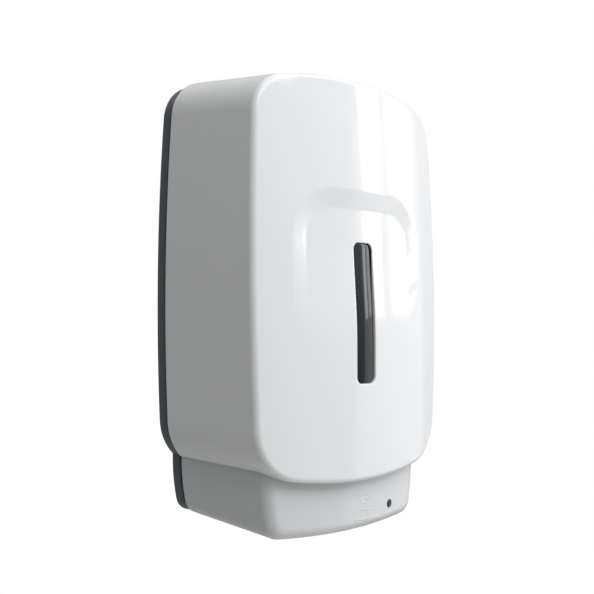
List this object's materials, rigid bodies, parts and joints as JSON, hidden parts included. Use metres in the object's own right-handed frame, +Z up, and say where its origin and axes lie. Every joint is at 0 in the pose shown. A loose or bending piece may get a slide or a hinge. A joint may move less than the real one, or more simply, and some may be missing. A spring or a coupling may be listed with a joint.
{
  "type": "wall mounted soap dispenser",
  "caption": "Wall mounted touch-free soap dispenser with a hinged curved cover, level window, lift-out tank, pump and lower sensor housing.",
  "frame": {"origin": "middle of the back plate's wall face", "axes": "+Z up, +X to the right seen from the front, +Y into the wall; the front faces -Y"},
  "size_m": [0.168, 0.0847, 0.2594],
  "materials": {
    "white_shell": "moulded white ABS, high gloss",
    "slate_plate": "dark slate ABS, satin",
    "smoked_window": "smoked clear plastic, polished",
    "black_lens": "black infrared-passing plastic",
    "light_pipe": "milky light pipe",
    "natural_nylon": "natural nylon",
    "steel": "bright steel",
    "clear_lid": "clear plastic",
    "grey_roller": "grey acetal",
    "brass": "turned brass",
    "silicone_tube": "translucent silicone",
    "tank_plastic": "translucent polyethylene",
    "black_rubber": "black rubber",
    "blue_cap": "blue-grey plastic",
    "cell_jacket": "printed steel jacket",
    "contact_metal": "plated spring metal",
    "board_green": "solder-resist green",
    "black_plastic": "black moulded plastic",
    "clear_eye": "clear epoxy",
    "switch_grey": "light grey plastic",
    "red_lead": "insulated wire",
    "blue_lead": "insulated wire",
    "grey_lead": "insulated wire"
  },
  "bodies": {
    "frame": {"back_plate": "slate_plate", "lower_housing": "white_shell", "sensor_window": "black_lens", "status_lens": "black_lens", "status_light": "light_pipe", "hinge_pin_left": "steel", "hinge_pin_right": "steel", "deck": "slate_plate", "pump_housing": "natural_nylon", "pump_lid": "clear_lid", "idler_pin": "steel", "motor_can": "steel", "soap_tube": "silicone_tube", "nozzle": "white_shell", "nozzle_valve": "black_rubber", "tank_socket": "slate_plate", "socket_seal": "black_rubber", "battery_box": "slate_plate", "cell_1": "cell_jacket", "cell_2": "cell_jacket", "cell_3": "cell_jacket", "cell_4": "cell_jacket", "low_contact_1": "contact_metal", "low_contact_2": "contact_metal", "control_board": "board_green", "board_chip": "black_plastic", "board_capacitor": "black_plastic", "sensor_block": "black_plastic", "sensor_emitter": "clear_eye", "sensor_receiver": "black_lens", "switch_body": "black_plastic", "battery_lead": "red_lead", "motor_lead": "blue_lead", "sensor_lead": "grey_lead", "housing_screw_left": "steel", "housing_screw_right": "steel", "deck_screw_left": "steel", "deck_screw_right": "steel", "pump_screw_1": "steel", "pump_screw_2": "steel"},
    "cover": {"front_cover": "white_shell", "level_window": "smoked_window"},
    "tank": {"tank": "tank_plastic"},
    "cap": {"filler_cap": "blue_cap", "cap_gasket": "black_rubber"},
    "rotor": {"rotor_gear": "natural_nylon", "rotor_shaft": "steel", "rotor_hub": "natural_nylon"},
    "roller_1": {"roller_1": "grey_roller"},
    "roller_2": {"roller_2": "grey_roller"},
    "roller_3": {"roller_3": "grey_roller"},
    "idler": {"idler_gear": "natural_nylon"},
    "motor_rotor": {"motor_pinion": "brass"},
    "latch": {"cover_latch": "natural_nylon", "latch_spring": "steel"},
    "battery_lid": {"battery_lid": "slate_plate", "high_contact_1": "contact_metal", "high_contact_2": "contact_metal", "high_contact_3": "contact_metal"},
    "switch_knob": {"switch_knob": "switch_grey"}
  },
  "joints": [
    {"name": "cover_hinge", "type": "hinge", "parent": "frame", "child": "cover", "pos_m": [0, -0.018, 0.116], "axis": [-1, 0, 0], "range_deg": [0, 90]},
    {"name": "tank_lift", "type": "slide", "parent": "frame", "child": "tank", "axis": [0, 0, 1], "range_m": [0, 0.01]},
    {"name": "cap_turn", "type": "hinge", "parent": "tank", "child": "cap", "pos_m": [0, -0.05035, 0.1], "axis": [0, 0, 1], "range_deg": [0, 90]},
    {"name": "rotor_turn", "type": "hinge", "parent": "frame", "child": "rotor", "pos_m": [-0.03, -0.038, -0.08], "axis": [0, 0, 1], "continuous": true},
    {"name": "idler_turn", "type": "hinge", "parent": "frame", "child": "idler", "pos_m": [-0.01034, -0.02423, -0.082], "axis": [0, 0, 1], "continuous": true},
    {"name": "motor_turn", "type": "hinge", "parent": "frame", "child": "motor_rotor", "pos_m": [0.00966, -0.02423, -0.08], "axis": [0, 0, 1], "continuous": true},
    {"name": "latch_lift", "type": "slide", "parent": "frame", "child": "latch", "axis": [0, 0, 1], "range_m": [0, 0.003], "stiffness_N_per_m": 120, "springref_m": -0.003, "deforming": ["latch_spring"]},
    {"name": "battery_lid_hinge", "type": "hinge", "parent": "frame", "child": "battery_lid", "pos_m": [0, -0.0053, 0.0469], "axis": [-1, 0, 0], "range_deg": [0, 90]},
    {"name": "power_switch", "type": "slide", "parent": "frame", "child": "switch_knob", "axis": [1, 0, 0], "range_m": [0, 0.003]},
    {"name": "roller_1_turn", "type": "hinge", "parent": "rotor", "child": "roller_1", "pos_m": [-0.02605, -0.03116, -0.069], "axis": [0, 0, 1], "continuous": true},
    {"name": "roller_2_turn", "type": "hinge", "parent": "rotor", "child": "roller_2", "pos_m": [-0.0379, -0.038, -0.069], "axis": [0, 0, 1], "continuous": true},
    {"name": "roller_3_turn", "type": "hinge", "parent": "rotor", "child": "roller_3", "pos_m": [-0.02605, -0.04484, -0.069], "axis": [0, 0, 1], "continuous": true}
  ],
  "couplings": [
    {"joint": "idler_turn", "follows": "rotor_turn", "ratio": -3},
    {"joint": "motor_turn", "follows": "rotor_turn", "ratio": 12},
    {"joint": "roller_1_turn", "follows": "rotor_turn", "ratio": -3.2571},
    {"joint": "roller_2_turn", "follows": "rotor_turn", "ratio": -3.2571},
    {"joint": "roller_3_turn", "follows": "rotor_turn", "ratio": -3.2571}
  ]
}
